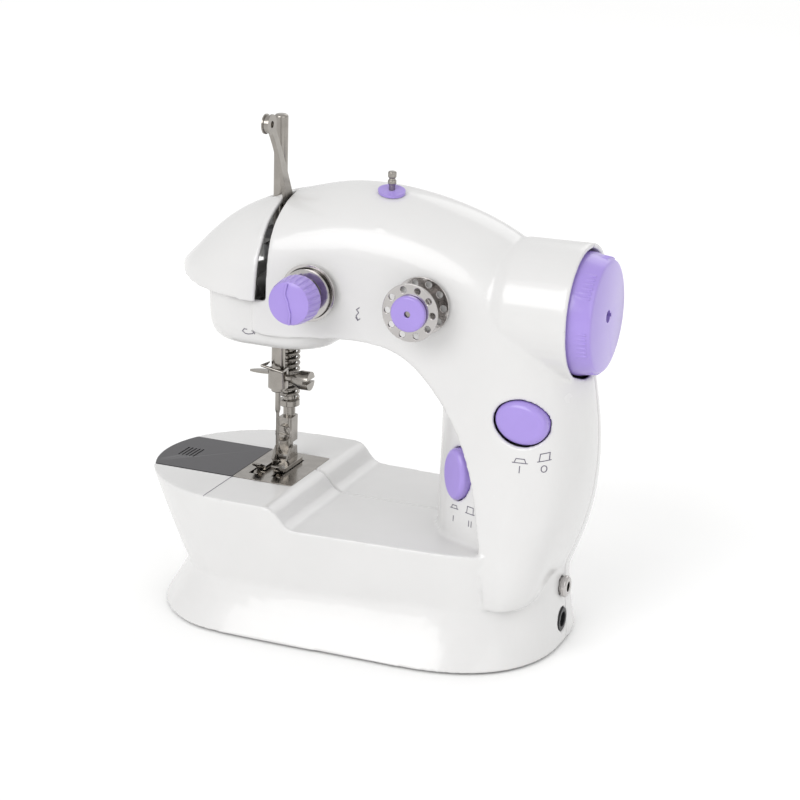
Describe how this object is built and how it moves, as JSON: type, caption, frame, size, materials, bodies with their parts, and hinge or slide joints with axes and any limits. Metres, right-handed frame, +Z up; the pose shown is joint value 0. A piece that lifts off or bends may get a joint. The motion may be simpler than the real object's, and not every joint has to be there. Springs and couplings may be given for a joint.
{
  "type": "sewing machine",
  "caption": "Small electric sewing machine: white moulded bed, column and arm, purple wheel, knob and push buttons, needle bar, presser foot, take-up lever and bobbins.",
  "frame": {"origin": "on the table plane, under the middle of the machine's outline", "axes": "+X to the hand wheel, -Y to the operator, +Z up"},
  "size_m": [0.1685, 0.0948, 0.1841],
  "materials": {
    "white_shell": "gloss white moulded plastic",
    "purple_plastic": "gloss lavender moulded plastic",
    "steel": "nickel-plated steel with fine turning marks",
    "chrome_steel": "bright nickel plate",
    "dark_plate": "dark grey satin enamel",
    "cast_frame": "die-cast, matt",
    "black_plastic": "matt black moulded plastic",
    "grey_plastic": "matt grey acetal",
    "rubber": "matt rubber",
    "brass": "plain brass",
    "board": "green solder mask"
  },
  "bodies": {
    "machine": {"front_shell": "white_shell", "rear_shell": "white_shell", "base_plate": "white_shell", "rubber_feet": "rubber", "case_screws": "steel", "battery_contacts": "steel", "needle_plate": "steel", "shaft_bushes": "brass", "bobbin_case": "steel", "head_frame": "cast_frame", "tension_stud": "steel", "tension_discs": "chrome_steel", "tension_spring": "steel", "bobbin_spindle": "steel", "guide_seat": "purple_plastic", "guide_post": "steel", "motor_bracket": "steel", "motor": "chrome_steel", "drive_belt": "rubber", "push_switches": "black_plastic", "circuit_board": "board", "dc_inlet": "black_plastic", "pedal_jack": "chrome_steel"},
    "main_shaft": {"hand_wheel": "purple_plastic", "upper_shaft": "steel", "crank_disc": "cast_frame", "upper_pulley": "grey_plastic", "drive_gear": "grey_plastic"},
    "motor_rotor": {"motor_shaft": "steel", "motor_pinion": "grey_plastic"},
    "lower_drive": {"lower_shaft": "steel", "lower_gear": "grey_plastic", "lower_pulley": "grey_plastic"},
    "hook": {"hook_shaft": "steel", "rotary_hook": "steel"},
    "needle_slide": {"needle_bar": "steel", "needle_driver": "cast_frame", "needle_clamp": "steel", "clamp_screw": "steel", "needle": "steel", "needle_guides": "steel"},
    "take_up": {"take_up_lever": "steel"},
    "presser": {"presser_bar": "steel", "presser_guide": "cast_frame", "presser_ankle": "steel", "ankle_screw": "steel", "presser_spring": "steel"},
    "foot": {"presser_foot": "steel", "foot_pin": "steel"},
    "lifter": {"presser_lifter": "white_shell"},
    "knob": {"tension_knob": "purple_plastic"},
    "bobbin": {"front_bobbin": "steel"},
    "cap": {"bobbin_cap": "purple_plastic"},
    "bobbin_cover": {"slide_plate": "dark_plate"},
    "feed": {"feed_dog": "steel"},
    "under_bobbin": {"lower_bobbin": "steel"},
    "power_key": {"power_button": "purple_plastic"},
    "speed_key": {"speed_button": "purple_plastic"},
    "battery_cover": {"battery_door": "white_shell"}
  },
  "joints": [
    {"name": "wheel_spin", "type": "hinge", "parent": "machine", "child": "main_shaft", "pos_m": [0, 0, 0.1226], "axis": [1, 0, 0], "continuous": true},
    {"name": "motor_spin", "type": "hinge", "parent": "machine", "child": "motor_rotor", "pos_m": [0.055, 0.007, 0.0986], "axis": [1, 0, 0], "continuous": true},
    {"name": "lower_spin", "type": "hinge", "parent": "machine", "child": "lower_drive", "pos_m": [0, 0.009, 0.028], "axis": [1, 0, 0], "continuous": true},
    {"name": "hook_spin", "type": "hinge", "parent": "machine", "child": "hook", "pos_m": [-0.0517, 0, 0.03], "axis": [0, 0, 1], "continuous": true},
    {"name": "needle_drop", "type": "slide", "parent": "machine", "child": "needle_slide", "axis": [0, 0, 1], "range_m": [-0.018, 0]},
    {"name": "take_up_swing", "type": "hinge", "parent": "machine", "child": "take_up", "pos_m": [-0.0325, 0.0126, 0.1203], "axis": [1, 0, 0], "range_deg": [0, 55]},
    {"name": "lifter_turn", "type": "hinge", "parent": "machine", "child": "lifter", "pos_m": [-0.0386, 0.022, 0.112], "axis": [0, 1, 0], "range_deg": [0, 90]},
    {"name": "presser_lift", "type": "slide", "parent": "machine", "child": "presser", "axis": [0, 0, 1], "range_m": [0, 0.005], "deforming": ["presser_spring"]},
    {"name": "foot_rock", "type": "hinge", "parent": "presser", "child": "foot", "pos_m": [-0.0386, 0.0076, 0.0532], "axis": [1, 0, 0], "range_deg": [-5, 0]},
    {"name": "tension_turn", "type": "hinge", "parent": "machine", "child": "knob", "pos_m": [-0.014, -0.04, 0.125], "axis": [0, 1, 0], "range_deg": [-180, 180]},
    {"name": "bobbin_spin", "type": "hinge", "parent": "machine", "child": "bobbin", "pos_m": [0.0265, -0.03, 0.125], "axis": [0, 1, 0], "continuous": true},
    {"name": "cap_pull", "type": "slide", "parent": "machine", "child": "cap", "axis": [0, -1, 0], "range_m": [0, 0.012]},
    {"name": "bobbin_cover_slide", "type": "slide", "parent": "machine", "child": "bobbin_cover", "axis": [-1, 0, 0], "range_m": [0, 0.035]},
    {"name": "feed_stroke", "type": "slide", "parent": "machine", "child": "feed", "axis": [0, 1, 0], "range_m": [-0.0015, 0.0015]},
    {"name": "under_bobbin_spin", "type": "hinge", "parent": "machine", "child": "under_bobbin", "pos_m": [-0.0517, 0, 0.042], "axis": [0, 0, 1], "continuous": true},
    {"name": "power_press", "type": "slide", "parent": "machine", "child": "power_key", "axis": [0, 1, 0], "range_m": [0, 0.0025], "stiffness_N_per_m": 200},
    {"name": "speed_press", "type": "slide", "parent": "machine", "child": "speed_key", "axis": [0.5872, 0.8095, 0], "range_m": [0, 0.0025], "stiffness_N_per_m": 200},
    {"name": "battery_cover_off", "type": "slide", "parent": "machine", "child": "battery_cover", "axis": [0, 0, -1], "range_m": [0, 0.02]}
  ],
  "couplings": [
    {"joint": "motor_spin", "follows": "wheel_spin", "ratio": -4},
    {"joint": "lower_spin", "follows": "wheel_spin", "ratio": 1},
    {"joint": "hook_spin", "follows": "wheel_spin", "ratio": 2},
    {"joint": "take_up_swing", "follows": "needle_drop", "rad_per_m": -53.33},
    {"joint": "lifter_turn", "follows": "presser_lift", "rad_per_m": 314.15}
  ]
}
